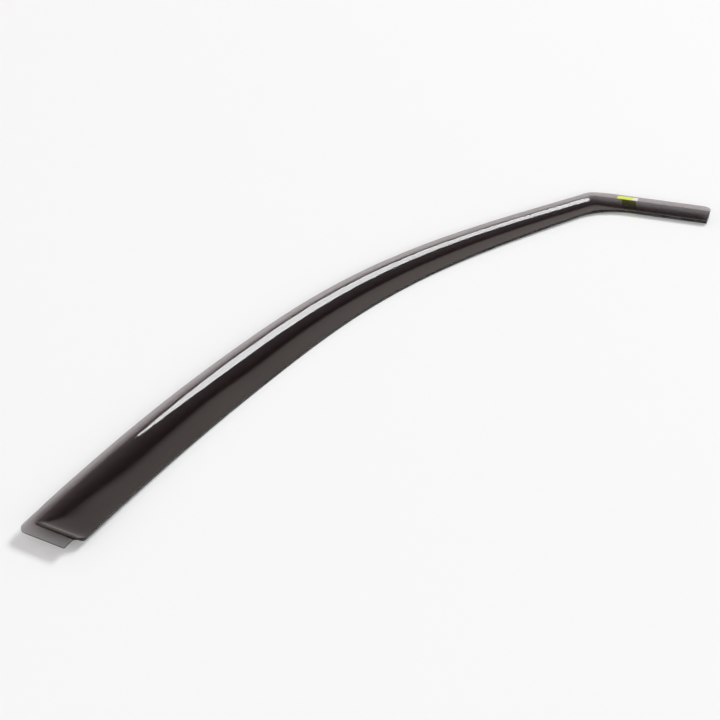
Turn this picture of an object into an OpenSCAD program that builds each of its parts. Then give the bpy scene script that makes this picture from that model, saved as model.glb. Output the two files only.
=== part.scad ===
// Window rain deflector for a car door: one moulded shell and its label.
// It lies with its hollow inner face up, as it rests on a table.
// X runs from the tab end to the leg end, Y points to the frame side, Z is up.

/* [Run] */
// Length of the long step line, from the end step to the corner
run_len = 920; // [600:1:1200]
// Radius of the gentle bow of the whole run
bow_r = 2600; // [1500:50:6000]
// Extra turn where the pillar meets the roof, in degrees
crest_turn = 13.5; // [0:0.5:30]
// Distance from the end step at which the extra turn starts
crest_from = 370; // [100:5:600]
// Distance from the end step at which the extra turn ends
crest_to = 800; // [500:5:860]

/* [Corner and leg] */
// Angle between the run and the leg, in degrees
corner_turn = 56; // [30:1:80]
// Radius of the step line at the corner
corner_r = 12; // [6:0.5:30]
// Radius of the free edge at the corner
free_r = 62; // [30:1:90]
// Length of the leg after the corner
leg_len = 138; // [80:1:220]
// Width of the blade along the leg
leg_w = 22; // [14:0.5:40]

/* [Blade] */
// Width of the blade at the tab end
blade_w = 51; // [35:0.5:80]
// Width of the blade at the corner
corner_w = 27.5; // [20:0.5:50]
// How late along the run the blade narrows
taper_pow = 2.6; // [1:0.1:4]
// Thickness of the blade
blade_t = 3; // [2:0.1:4]
// Rounding of the free edge
edge_r = 0.2; // [0.1:0.1:1.2]

/* [Stand-off] */
// Distance from the step line to the start of the rounded ridge
ridge_from = 1.6; // [0:0.1:4]
// Width of the rounded ridge, down to the steepest place of the step
ridge_w = 4; // [2:0.1:6]
// Steepest fall of the step near the tab end, as drop over distance
steep_tab = 0.38; // [0.2:0.01:1]
// Steepest fall of the step along the run
steep_run = 0.95; // [0.4:0.01:1.4]
// Steepest fall of the step at the corner and along the leg
steep_leg = 0.86; // [0.4:0.01:1.2]
// Reach of the cove at the foot of the step at the tab end
cove_tab = 7; // [3:0.1:12]
// Reach of the cove where it is widest, just past the tab end
cove_wide = 17.5; // [8:0.1:20]
// Reach of the cove along the run
cove_run = 13.2; // [6:0.1:18]
// Reach of the cove at the corner and along the leg
cove_leg = 9.6; // [5:0.1:13]

/* [Flange and tab] */
// Thickness of the insertion flange and tab
flange_t = 0.8; // [0.6:0.1:1.8]
// Width of the flange at the tab end
flange_tab_w = 5.6; // [3:0.1:12]
// Width of the flange along the run
flange_w = 6.5; // [4:0.1:14]
// Width of the flange along the leg
flange_leg_w = 10.5; // [5:0.1:16]
// Length of the tab beyond the end step
tab_len = 14; // [8:0.5:40]
// Width of the tab, measured from the step line
tab_w = 44.5; // [25:0.5:70]
// Rake of the tab end and of the end step, in degrees
tab_rake = 9; // [0:1:20]
// Radius of the rounded tab corner
tab_r = 9; // [3:0.5:14]
// Radius of the small tab corner
tab_nick_r = 0.8; // [0.6:0.1:4]

/* [Labels] */
// Thickness of the label film
label_t = 0.2; // [0.15:0.05:0.5]
// Distance of the flange label from the corner, along the leg
seal_from = 25; // [14:1:80]
// Length of the flange label along the leg
seal_len = 25; // [8:1:50]
// Distance of the blade label from the corner, along the leg
tag_from = 31; // [14:1:80]
// Length of the blade label along the leg
tag_len = 17; // [8:1:40]
// How far the blade label slants along the leg on its way down
tag_slant = 5; // [0:0.5:10]

/* [Hidden] */
// Turn that lays the chord from the tab to the leg end along X
yaw = 23.6;

// Height of the inner face of the flange before the shell is set down
flange_z = 0;

// Soft minimum of the distances that meet at a corner of the step
soft = corner_r * (1 - cos(corner_turn / 2)) / ln(2);

// Places along the step line: the bow ends before the corner
straight_len = 66;
bow_end = run_len - straight_len;
arc_len = corner_r * corner_turn * PI / 180;
full_len = run_len + arc_len + leg_len;

// The outer face starts its step earlier, and the wall thickens over the ridge
outer_lead = 0.8;
thicker_from = -1;
thicker_len = 8;

function share(t) = max(0, min(1, t));
function smooth(t) = let (c = share(t)) c * c * (3 - 2 * c);
function lerp(a, b, t) = a + (b - a) * t;
function along(a) = [cos(a), sin(a)];
function inward(a) = [sin(a), -cos(a)];

// Heading of the step line at a distance s from the end step
function heading(s) =
    let (bowed = max(0, min(s, bow_end)))
    - bowed / bow_r * 180 / PI
    - crest_turn * smooth((bowed - crest_from) / (crest_to - crest_from));

run_heading = heading(run_len);
leg_heading = run_heading - corner_turn;

// Points of the bowed run, summed in short steps
bow_step = 5;
bow_count = round(bow_end / bow_step);
bow_pts = [
    for (i = 0, p = [0, 0]; i <= bow_count;
         p = p + bow_end / bow_count * along(heading((i + 0.5) * bow_end / bow_count)),
         i = i + 1)
    p
];

function bow_point(s) =
    let (k = s / bow_end * bow_count, i = min(floor(k), bow_count - 1))
    lerp(bow_pts[i], bow_pts[i + 1], k - i);

corner_start = bow_pts[bow_count] + straight_len * along(run_heading);
corner_mid = corner_start + corner_r * inward(run_heading);
corner_end = corner_mid - corner_r * inward(leg_heading);

// Point of the step line at a distance s, and its heading there
function step_heading(s) =
    s <= run_len ? heading(s)
    : s >= run_len + arc_len ? leg_heading
    : run_heading - (s - run_len) / corner_r * 180 / PI;

function step_point(s) =
    s <= 0 ? s * along(0)
    : s <= bow_end ? bow_point(s)
    : s <= run_len ? corner_start - (run_len - s) * along(run_heading)
    : s <= run_len + arc_len ? corner_mid - corner_r * inward(step_heading(s))
    : corner_end + (s - run_len - arc_len) * along(leg_heading);

// Width of the blade, from the step line to the free edge
function blade_width(s) =
    s < run_len
    ? lerp(blade_w, corner_w, pow(max(0, s) / run_len, taper_pow))
      - (blade_w - tab_w) * (1 - smooth((s + 2.5) / 11))
    : leg_w;

// Steepest fall of the step, and reach of the cove at its foot, at a distance s
function steep(s) =
    lerp(lerp(steep_tab, steep_run, smooth((s - 40) / 290)), steep_leg, smooth((s - 400) / 500));

function cove(s) =
    s < 110 ? lerp(cove_tab, cove_wide, smooth(s / 110))
    : s < 500 ? lerp(cove_wide, cove_run, smooth((s - 110) / 150))
    : lerp(cove_run, cove_leg, smooth((s - 500) / 400));

function rounded_end(q, r) = q >= r ? 0 : r - sqrt(r * r - (r - q) * (r - q));

// Free edge: where the sloping run edge and the leg edge are joined by the fillet
edge_slope = atan((blade_w - corner_w) * taper_pow / run_len);
free_run_dir = run_heading + edge_slope;
free_run_at = corner_start + corner_w * inward(run_heading);
free_leg_at = corner_end + leg_w * inward(leg_heading);

function cross2(a, b) = a[0] * b[1] - a[1] * b[0];
function meet(p, a, q, b) =
    p + along(a) * cross2(q - p, along(b)) / cross2(along(a), along(b));

free_mid = meet(free_run_at + free_r * inward(free_run_dir), free_run_dir,
                free_leg_at + free_r * inward(leg_heading), leg_heading);
free_start = free_mid - free_r * inward(free_run_dir);
free_end = free_mid - free_r * inward(leg_heading);

// The fan of section lines around the corner starts and ends square to the step
fan_from = run_len - (corner_start - free_start) * along(run_heading);
fan_to = run_len + arc_len + (free_end - corner_end) * along(leg_heading);

function free_point(s) =
    s <= fan_from ? step_point(s) + blade_width(s) * section_dir(s)
    : s >= fan_to ? step_point(s) + leg_w * inward(leg_heading)
    : let (a = lerp(free_run_dir, leg_heading, (s - fan_from) / (fan_to - fan_from)))
      free_mid - free_r * inward(a);

// Section lines lean with the raked tab end and stand square further on
function section_dir(s) =
    let (lean = tab_rake * (1 - smooth((s - 20) / 160)))
    inward(step_heading(s) - lean) / cos(lean);

function flange_width(s) =
    s < run_len / 2
    ? lerp(flange_tab_w, flange_w, smooth(s / 260))
    : lerp(flange_w, flange_leg_w, smooth((s - run_len + 12) / 40));

function flange_edge(s) =
    -flange_width(s)
    + rounded_end(s + tab_len, tab_r)
    + rounded_end(full_len - s, flange_leg_w - 0.5);

function free_trim(s) = rounded_end(s + tab_len, tab_nick_r);

// Distance of a plan point inward from the step, over all of its sides
function step_distance(p, s, d) =
    let (
        side = s < fan_from || s > fan_to ? d : (p - corner_start) * inward(run_heading),
        leg = s < fan_from || s > fan_to ? 1000 : (p - corner_end) * inward(leg_heading),
        end = s > 120 ? 1000 : p * [cos(tab_rake), -sin(tab_rake)]
    )
    -soft * ln(exp(-side / soft) + exp(-leg / soft) + exp(-end / soft));

// Drop at x behind the start of the ridge: a rounded ridge, then a cove that fades out
function drop(x, s) =
    x <= 0 ? 0
    : steep(s) * (x < ridge_w ? x * x / (2 * ridge_w)
        : ridge_w / 2 + cove(s) / 2 * (1 - 1 / pow(1 + (x - ridge_w) / cove(s), 2)));

function inner_z(d, s) = flange_z - drop(d - ridge_from, s);

function outer_z(d, s) =
    flange_z - drop(d - ridge_from + outer_lead, s)
    - lerp(flange_t, blade_t, smooth((d - thicker_from) / thicker_len));

// Distances across one section, close together over the ridge and the cove
cove_shares = [0.07, 0.16, 0.28, 0.44, 0.65, 0.92, 1.3];
ridge_end = ridge_from + ridge_w;
function inner_marks(s) = concat(
    [for (k = [0:0.2:1]) ridge_from + k * ridge_w],
    [for (k = cove_shares) ridge_end + k * cove(s)]
);
function outer_marks(s) = concat(
    [for (k = [0:0.2:1]) lerp(thicker_from, ridge_end - outer_lead, k)],
    [for (k = cove_shares) ridge_end - outer_lead + k * cove(s)]
);
blade_shares = [0.18, 0.4, 0.62, 0.84];

// Place of a mark on the section line at s
function plan_point(s, d) =
    d <= 0 ? step_point(s) + d * (s < fan_from ? section_dir(s) : inward(step_heading(s)))
    : lerp(step_point(s), free_point(s), d / free_span(s));

function free_span(s) = s < fan_from ? blade_width(s) : s > fan_to ? leg_w : fan_span(s);
function fan_span(s) =
    lerp(blade_width(fan_from), leg_w, smooth((s - fan_from) / (fan_to - fan_from)));

function marks(near, s) =
    let (
        first = flange_edge(s),
        last = free_span(s) - free_trim(s),
        wide = last - edge_r,
        root = near[len(near) - 1],
        start = max(near[0], first + 0.4)
    )
    concat(
        [first, (first + start) / 2],
        [for (d = near) lerp(start, root, (d - near[0]) / (root - near[0]))],
        [for (k = blade_shares) lerp(root, wide, k)],
        [wide]
    );

// One closed loop of points around the section at s
function section(s) =
    let (
        top = marks(inner_marks(s), s),
        low = marks(outer_marks(s), s),
        tip = free_span(s) - free_trim(s),
        tip_p = plan_point(s, tip),
        tip_d = step_distance(tip_p, s, tip),
        tip_top = inner_z(tip_d, s),
        tip_low = outer_z(tip_d, s),
        soft_edge = min(edge_r, (tip_top - tip_low) / 3)
    )
    concat(
        [for (d = top) let (p = plan_point(s, d)) [p[0], p[1], inner_z(step_distance(p, s, d), s)]],
        [[tip_p[0], tip_p[1], tip_top - soft_edge], [tip_p[0], tip_p[1], tip_low + soft_edge]],
        [for (i = [len(low) - 1:-1:0])
            let (p = plan_point(s, low[i])) [p[0], p[1], outer_z(step_distance(p, s, low[i]), s)]]
    );

// Stations along the step line, close together at the end step and the corner
tab_stations = concat(
    [for (q = [0, 0.4, 1.2, 2.4, 4, 6, 9, 12.5]) q - tab_len],
    [-1, 0, 1, 2, 3, 4, 5, 6, 7.2, 8.6, 10, 12, 15, 19, 24, 30, 38, 48, 60, 74]
);
run_count = 34;
run_stations = [for (i = [0:run_count]) lerp(90, fan_from - 3, i / run_count)];
fan_count = 15;
fan_stations = concat(
    [for (i = [0:4]) lerp(fan_from, run_len - 1, i / 5)],
    [for (i = [0:8]) lerp(run_len - 1, run_len + arc_len + 1, i / 8)],
    [for (i = [1:5]) lerp(run_len + arc_len + 1, fan_to, i / 5)]
);
leg_tail = flange_leg_w;
leg_stations = concat(
    [for (i = [1:4]) lerp(fan_to, full_len - leg_tail, i / 4)],
    [for (q = [6.5, 4, 2.2, 1, 0.3, 0]) full_len - q]
);
stations = concat(tab_stations, run_stations, fan_stations, leg_stations);

// Quads between neighbouring sections, split into triangles
function skin_faces(rows, n) = [
    for (j = [0:rows - 2], i = [0:n - 1])
    let (k = (i + 1) % n, a = j * n + i, b = j * n + k, c = (j + 1) * n + k, d = (j + 1) * n + i)
    each [[a, c, b], [a, d, c]]
];

// A cap joins the inner side of a section to its outer side
function cap_faces(base, n, flip) = [
    for (i = [0:n / 2 - 2])
    let (a = base + i, b = base + i + 1, c = base + n - 2 - i, d = base + n - 1 - i)
    each flip ? [[a, b, c], [a, c, d]] : [[a, c, b], [a, d, c]]
];

// The shell is turned along X and centred on the origin, and stands on Z = 0
loops = [for (s = stations) section(s)];
function turned(p) = [
    p[0] * cos(yaw) - p[1] * sin(yaw),
    p[0] * sin(yaw) + p[1] * cos(yaw),
    p[2]
];
spread = [for (loop = loops, p = loop) turned(p)];
xs = [for (p = spread) p[0]];
ys = [for (p = spread) p[1]];
zs = [for (p = spread) p[2]];
shift = -[(min(xs) + max(xs)) / 2, (min(ys) + max(ys)) / 2, min(zs)];

module placed() {
    translate(shift) rotate([0, 0, yaw]) children();
}

// Shell: flange, tab, step, end step and blade in one moulded piece
module deflector() {
    n = len(loops[0]);
    rows = len(stations);
    color([0.16, 0.14, 0.14, 0.8])
    placed()
    polyhedron(
        points = [for (loop = loops, p = loop) p],
        faces = concat(
            skin_faces(rows, n),
            cap_faces(0, n, true),
            cap_faces((rows - 1) * n, n, false)
        )
    );
}

// Paths of the labels in the section of the leg; the one on the curved side stays just clear
label_gap = 0.08;
seal_s = run_len + arc_len + seal_from + seal_len / 2;
tag_s = run_len + arc_len + tag_from + tag_len / 2;
seal_path = [for (d = [-7, -3.5, 0, 0.7, 1.4]) [d, inner_z(d, seal_s)]];
tag_path = [
    for (d = [1, 2, 3.2, 4.6, 6, 7.3, 8.6, 10.5, 13, 16, 19, leg_w - 1.5])
    [d, outer_z(d, tag_s) - label_gap]
];

function path_side(path, i) =
    let (v = path[min(i + 1, len(path) - 1)] - path[max(i - 1, 0)]) [-v[1], v[0]] / norm(v);

// Place in the plan for a distance along the leg and one across it
function leg_plan(along_leg, d) =
    corner_end + along_leg * along(leg_heading) + d * inward(leg_heading);

// A thin film that follows a path across the leg; out is the side it lies on
module film(path, from, length, slant, out) {
    rows = len(path);
    points = [
        for (i = [0:rows - 1])
        let (
            low = path[i],
            high = low + out * label_t * path_side(path, i),
            a = from + slant * i / (rows - 1),
            ring = [[low, a], [high, a], [high, a + length], [low, a + length]]
        )
        for (j = [0:3])
        let (k = ring[out > 0 ? 3 - j : j], p = leg_plan(k[1], k[0][0]))
        [p[0], p[1], k[0][1]]
    ];
    last = 4 * (rows - 1);
    placed()
    polyhedron(
        points = points,
        faces = concat(
            skin_faces(rows, 4),
            [[0, 1, 2], [0, 2, 3], [last, last + 2, last + 1], [last, last + 3, last + 2]]
        )
    );
}

// Label on the inner face of the flange, at the edge of the step
module flange_label() {
    color([0.95, 0.95, 0.23])
    film(seal_path, seal_from, seal_len, 0, 1);
}

// Label on the outer face of the blade, under the leg
module blade_label() {
    color([0.95, 0.95, 0.23])
    film(tag_path, tag_from, tag_len, tag_slant, -1);
}

deflector();
flange_label();
blade_label();
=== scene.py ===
"""Looks of a window rain deflector: a smoke-tinted acrylic shell and its two labels.

The shell lies with its hollow inner face up on a pale studio floor.
"""

import logging
import math
from dataclasses import dataclass, field
from enum import Enum

import bmesh
import bpy
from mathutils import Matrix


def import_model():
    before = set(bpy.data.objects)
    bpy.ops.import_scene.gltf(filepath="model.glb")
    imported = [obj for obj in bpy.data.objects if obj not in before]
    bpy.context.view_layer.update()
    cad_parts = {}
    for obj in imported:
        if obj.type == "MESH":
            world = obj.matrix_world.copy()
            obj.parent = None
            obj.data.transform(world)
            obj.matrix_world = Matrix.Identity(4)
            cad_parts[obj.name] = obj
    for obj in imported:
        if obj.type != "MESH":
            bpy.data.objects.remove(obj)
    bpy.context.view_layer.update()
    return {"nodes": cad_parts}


log = logging.getLogger("deflector")

MM = 0.001
Colour = tuple[float, float, float, float]
Point = tuple[float, float, float]
Span = tuple[float, float]
ALONG_LEG = (0.029, -0.999, 0.0)


def linear(hex_code: str) -> Colour:
    """Turn an sRGB hex colour into linear values.

    Args:
        hex_code: Six hex digits, such as "f2f2ee".

    Returns:
        Linear red, green, blue and an alpha of 1.
    """
    parts = [int(hex_code[i : i + 2], 16) / 255 for i in (0, 2, 4)]
    red, green, blue = (c / 12.92 if c <= 0.04045 else ((c + 0.055) / 1.055) ** 2.4 for c in parts)
    return (red, green, blue, 1.0)


def add_node(tree: bpy.types.NodeTree, kind: str, values: dict | None = None, links: dict | None = None,
             **settings: object) -> bpy.types.Node:
    """Add a shader node with its settings, socket values and links.

    Args:
        tree: Node tree that the node goes into.
        kind: Blender's type name of the node.
        values: Socket name or index to the value set on it.
        links: Socket name or index to the output socket linked to it.
        **settings: Attributes of the node itself.

    Returns:
        The new node.
    """
    node = tree.nodes.new(kind)
    for name, value in settings.items():
        setattr(node, name, value)
    for socket, value in (values or {}).items():
        node.inputs[socket].default_value = value
    for socket, source in (links or {}).items():
        tree.links.new(source, node.inputs[socket])
    return node


def empty_material(name: str) -> tuple[bpy.types.Material, bpy.types.NodeTree]:
    """Make a material with an empty node tree.

    Args:
        name: Name of the material.

    Returns:
        The material and its node tree.
    """
    material = bpy.data.materials.new(name)
    material.use_nodes = True
    material.node_tree.nodes.clear()
    return material, material.node_tree


def dress(piece: bpy.types.Object, material: bpy.types.Material) -> None:
    """Give a piece one material in place of what it had.

    Args:
        piece: Object that is dressed.
        material: Its only material from now on.
    """
    piece.data.materials.clear()
    piece.data.materials.append(material)


class Side(Enum):
    """Side of the shell that a label lies on."""

    INNER = "inner"
    OUTER = "outer"


@dataclass(frozen=True)
class SmokeAcrylic:
    """Smoke-tinted PMMA, cast and polished: clear, brown-black in depth, with a sharp gloss.

    The tint is in the depth of the acrylic, so the thin flange looks grey
    and the 3 mm blade almost black.
    """

    name: str = "smoke tinted PMMA"
    tint: str = "6c5b5e"
    density_per_m: float = 850.0
    ior: float = 1.49
    roughness: float = 0.015
    ripple_mm: float = 90.0
    ripple_height_mm: float = 0.05
    ripple_strength: float = 0.25
    ripple_detail: float = 1.0

    def build(self) -> bpy.types.Material:
        """Build a clear gloss surface with an absorbing depth and a faint forming ripple.

        Returns:
            The acrylic's material.
        """
        material, tree = empty_material(self.name)
        place = add_node(tree, "ShaderNodeTexCoord")
        ripple = add_node(tree, "ShaderNodeTexNoise",
                          {"Scale": 1 / (self.ripple_mm * MM), "Detail": self.ripple_detail},
                          {"Vector": place.outputs["Object"]})
        bump = add_node(tree, "ShaderNodeBump",
                        {"Strength": self.ripple_strength, "Distance": self.ripple_height_mm * MM},
                        {"Height": ripple.outputs["Fac"]})
        surface = add_node(tree, "ShaderNodeBsdfPrincipled",
                           {"Base Color": (1, 1, 1, 1), "Roughness": self.roughness, "IOR": self.ior,
                            "Transmission Weight": 1.0},
                           {"Normal": bump.outputs["Normal"]})
        depth = add_node(tree, "ShaderNodeVolumeAbsorption",
                         {"Color": linear(self.tint), "Density": self.density_per_m})
        add_node(tree, "ShaderNodeOutputMaterial", links={
            "Surface": surface.outputs["BSDF"], "Volume": depth.outputs["Volume"]})
        return material


@dataclass(frozen=True)
class PrintedFilm:
    """Printed vinyl film: a flat ink colour under a thin satin laminate, with a paler end."""

    name: str
    ink: str = "dcee48"
    bare: str = "ececea"
    ior: float = 1.5
    roughness: float = 0.35
    roughness_spread: float = 0.05
    fleck_mm: float = 0.8
    fleck_detail: float = 2.0
    see_through: float = 0.0

    def build(self, edge: Point, along: Point, soft_mm: float = 0.3) -> bpy.types.Material:
        """Build the film's material, inked up to an edge and bare beyond it.

        Args:
            edge: Point on the line where the ink ends, in metres.
            along: Unit direction from the inked part to the bare part.
            soft_mm: Width of the ink's edge.

        Returns:
            The film's material.
        """
        material, tree = empty_material(self.name)
        place = add_node(tree, "ShaderNodeTexCoord")
        away = add_node(tree, "ShaderNodeVectorMath", {1: edge},
                        {0: place.outputs["Object"]}, operation="SUBTRACT")
        reach = add_node(tree, "ShaderNodeVectorMath", {1: along},
                         {0: away.outputs["Vector"]}, operation="DOT_PRODUCT")
        share = add_node(tree, "ShaderNodeMapRange", {"From Min": 0.0, "From Max": soft_mm * MM},
                         {"Value": reach.outputs["Value"]})
        fleck = add_node(tree, "ShaderNodeTexNoise",
                         {"Scale": 1 / (self.fleck_mm * MM), "Detail": self.fleck_detail},
                         {"Vector": place.outputs["Object"]})
        tone = add_node(tree, "ShaderNodeMixRGB",
                        {"Color1": linear(self.ink), "Color2": linear(self.bare)},
                        {"Fac": share.outputs["Result"]})
        gloss = add_node(tree, "ShaderNodeMapRange",
                         {"To Min": self.roughness - self.roughness_spread,
                          "To Max": self.roughness + self.roughness_spread},
                         {"Value": fleck.outputs["Fac"]})
        surface = add_node(tree, "ShaderNodeBsdfPrincipled", {"IOR": self.ior},
                           {"Base Color": tone.outputs["Color"],
                            "Roughness": gloss.outputs["Result"]})
        glow = add_node(tree, "ShaderNodeBsdfTranslucent", links={"Color": tone.outputs["Color"]})
        film = add_node(tree, "ShaderNodeMixShader", {0: self.see_through},
                        {1: surface.outputs["BSDF"], 2: glow.outputs["BSDF"]})
        add_node(tree, "ShaderNodeOutputMaterial", links={"Surface": film.outputs["Shader"]})
        return material


@dataclass
class Shell:
    """The moulded deflector: flange, tab, step and blade in one piece."""

    node: str = "deflector"
    weld_mm: float = 0.02
    crease_deg: float = 38.0
    finish: SmokeAcrylic = field(default_factory=SmokeAcrylic)

    def build(self, nodes: dict[str, bpy.types.Object]) -> bpy.types.Object:
        """Join the node's loose triangles, smooth them between the creases and dress the shell.

        Args:
            nodes: CAD nodes by name.

        Returns:
            The shell's object.
        """
        shell = nodes[self.node]
        shell.data.shade_smooth()
        weld = shell.modifiers.new("weld", "WELD")
        weld.merge_threshold = self.weld_mm * MM
        crease = shell.modifiers.new("creases", "EDGE_SPLIT")
        crease.split_angle = math.radians(self.crease_deg)
        dress(shell, self.finish.build())
        return shell


@dataclass
class Label:
    """A label film on the leg."""

    node: str
    side: Side
    finish: PrintedFilm
    ink_edge_mm: Point
    along: Point

    def build(self, nodes: dict[str, bpy.types.Object]) -> bpy.types.Object:
        """Dress the label's node.

        Args:
            nodes: CAD nodes by name.

        Returns:
            The label's object.
        """
        film = nodes[self.node]
        x, y, z = (c * MM for c in self.ink_edge_mm)
        dress(film, self.finish.build((x, y, z), self.along))
        return film


@dataclass(frozen=True)
class Panel:
    """A level soft panel overhead, given by where its corners are seen from the deflector."""

    name: str
    corners: tuple[Span, ...]
    radiance: float

    def build(self, height: float) -> bpy.types.Object:
        """Hang the panel so that it shines down.

        Args:
            height: Height of the panel over the floor, in metres; its corners are shares of it.

        Returns:
            The panel's object.
        """
        material, tree = empty_material(self.name)
        glow = add_node(tree, "ShaderNodeEmission", {"Strength": self.radiance})
        add_node(tree, "ShaderNodeOutputMaterial", links={"Surface": glow.outputs["Emission"]})
        shape = bmesh.new()
        shape.faces.new([shape.verts.new((x * height, y * height, 0)) for x, y in self.corners])
        mesh = bpy.data.meshes.new(self.name)
        shape.to_mesh(mesh)
        shape.free()
        lamp = bpy.data.objects.new(self.name, mesh)
        bpy.context.collection.objects.link(lamp)
        lamp.location = (0, 0, height)
        dress(lamp, material)
        return lamp


SIDE_PANEL = Panel("side panel", (
    (1.14, 0.32), (1.52, 0.34), (1.52, -0.38), (1.3, -0.55),
    (0.76, -0.55), (0.76, -0.05), (0.9, 0.06)), radiance=12.5)
FRONT_PANEL = Panel("front panel", (
    (-3.1, -1.1), (-1.1, -1.1), (-1.1, -3.1), (-3.1, -3.1)), radiance=14.0)


@dataclass
class Studio:
    """Pale floor, soft panels, the room around them and the camera."""

    floor_hex: str = "f3f9f8"
    floor_radius: float = 40.0
    floor_sides: int = 96
    wall_facing_deg: float = 63.0
    wall_height: float = 0.655
    side_wall_share: float = 0.8
    shades: tuple[tuple[float, str], ...] = (
        (0.0, "fff8f4"), (0.6, "f2e6e2"), (0.94, "d4c6c2"), (1.02, "5c4a49"),
        (1.2, "765e60"), (1.6, "98858a"), (2.1, "98898d"), (2.8, "a69a9f"))
    shades_top: float = 4.0
    panels: tuple[Panel, ...] = (SIDE_PANEL, FRONT_PANEL)
    panel_height: float = 20.0
    camera_at_mm: Point = (-1057.3, -1053.3, 751.7)
    target_mm: Point = (-65.6, -25.1, -1.7)
    lens: float = 80.84
    sensor_width: float = 36.0
    clip_end: float = 200.0

    def build(self) -> None:
        """Set up everything around the deflector."""
        self.floor()
        self.room()
        for panel in self.panels:
            panel.build(self.panel_height)
        self.camera()
        bpy.context.scene.view_settings.view_transform = "Standard"

    def floor(self) -> None:
        """Lay a wide disc of white paper as the floor."""
        bpy.ops.mesh.primitive_circle_add(
            vertices=self.floor_sides, radius=self.floor_radius, fill_type="NGON")
        disc = bpy.context.object
        disc.name = "studio_floor"
        material, tree = empty_material("white paper sweep")
        surface = add_node(tree, "ShaderNodeBsdfPrincipled",
                           {"Base Color": linear(self.floor_hex), "Roughness": 1.0,
                            "Specular IOR Level": 0.0})
        add_node(tree, "ShaderNodeOutputMaterial", links={"Surface": surface.outputs["BSDF"]})
        dress(disc, material)

    def room(self) -> None:
        """Surround the deflector with pale walls under a darker ceiling.

        A direction's level is its rise over its reach to the nearer wall: 1 is the top of the walls.
        """
        world = bpy.data.worlds.new("studio room")
        world.use_nodes = True
        tree = world.node_tree
        tree.nodes.clear()
        place = add_node(tree, "ShaderNodeTexCoord")
        rise = add_node(tree, "ShaderNodeSeparateXYZ", links={"Vector": place.outputs["Generated"]})
        turn = math.radians(self.wall_facing_deg)
        side_height = self.wall_height * self.side_wall_share
        facings = (
            (math.cos(turn) * self.wall_height, math.sin(turn) * self.wall_height, 0),
            (math.sin(turn) * side_height, -math.cos(turn) * side_height, 0))
        reaches = []
        for facing in facings:
            reach = add_node(tree, "ShaderNodeVectorMath", {1: facing},
                             {0: place.outputs["Generated"]}, operation="DOT_PRODUCT")
            reaches.append(add_node(tree, "ShaderNodeMath", links={0: reach.outputs["Value"]},
                                    operation="ABSOLUTE"))
        nearest = add_node(tree, "ShaderNodeMath",
                           links={0: reaches[0].outputs[0], 1: reaches[1].outputs[0]},
                           operation="MAXIMUM")
        level = add_node(tree, "ShaderNodeMath",
                         links={0: rise.outputs["Z"], 1: nearest.outputs[0]}, operation="DIVIDE")
        share = add_node(tree, "ShaderNodeMath", {1: 1 / self.shades_top},
                         {0: level.outputs[0]}, operation="MULTIPLY", use_clamp=True)
        tone = add_node(tree, "ShaderNodeValToRGB", links={"Fac": share.outputs[0]})
        ramp = tone.color_ramp
        while len(ramp.elements) < len(self.shades):
            ramp.elements.new(1.0)
        for stop, (height, shade) in zip(ramp.elements, self.shades):
            stop.position = height / self.shades_top
            stop.color = linear(shade)
        light = add_node(tree, "ShaderNodeBackground", {"Strength": 1.0}, {"Color": tone.outputs["Color"]})
        add_node(tree, "ShaderNodeOutputWorld", links={"Surface": light.outputs["Background"]})
        bpy.context.scene.world = world

    def camera(self) -> None:
        """Set the camera at the photograph's viewing angle."""
        data = bpy.data.cameras.new("camera")
        data.lens = self.lens
        data.sensor_width = self.sensor_width
        data.clip_end = self.clip_end
        cam = bpy.data.objects.new("camera", data)
        bpy.context.collection.objects.link(cam)
        x, y, z = ((a - b) * MM for a, b in zip(self.target_mm, self.camera_at_mm))
        cam.location = tuple(c * MM for c in self.camera_at_mm)
        tilt = math.atan2(math.hypot(x, y), -z)
        cam.rotation_euler = (tilt, 0, math.atan2(y, x) - math.pi / 2)
        bpy.context.scene.camera = cam


def main() -> None:
    """Build the deflector's looks and the studio round it."""
    logging.basicConfig(level=logging.INFO, format="%(name)s: %(message)s")
    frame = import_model()
    nodes = frame["nodes"]
    moulding = Shell()
    shell = moulding.build(nodes)
    log.info("%s dressed as %s", shell.name, moulding.finish.name)
    flange_film = PrintedFilm("yellow printed film")
    blade_film = PrintedFilm("translucent yellow film", see_through=0.8)
    labels = [
        Label("flange_label", Side.INNER, flange_film, (440.5, 29.0, 10.9), ALONG_LEG),
        Label("blade_label", Side.OUTER, blade_film, (500.0, -200.0, 4.0), ALONG_LEG),
    ]
    for label in labels:
        film = label.build(nodes)
        log.info("%s dressed, on the %s side", film.name, label.side.value)
    Studio().build()
    log.info("studio built")


if __name__ == "__main__":
    main()
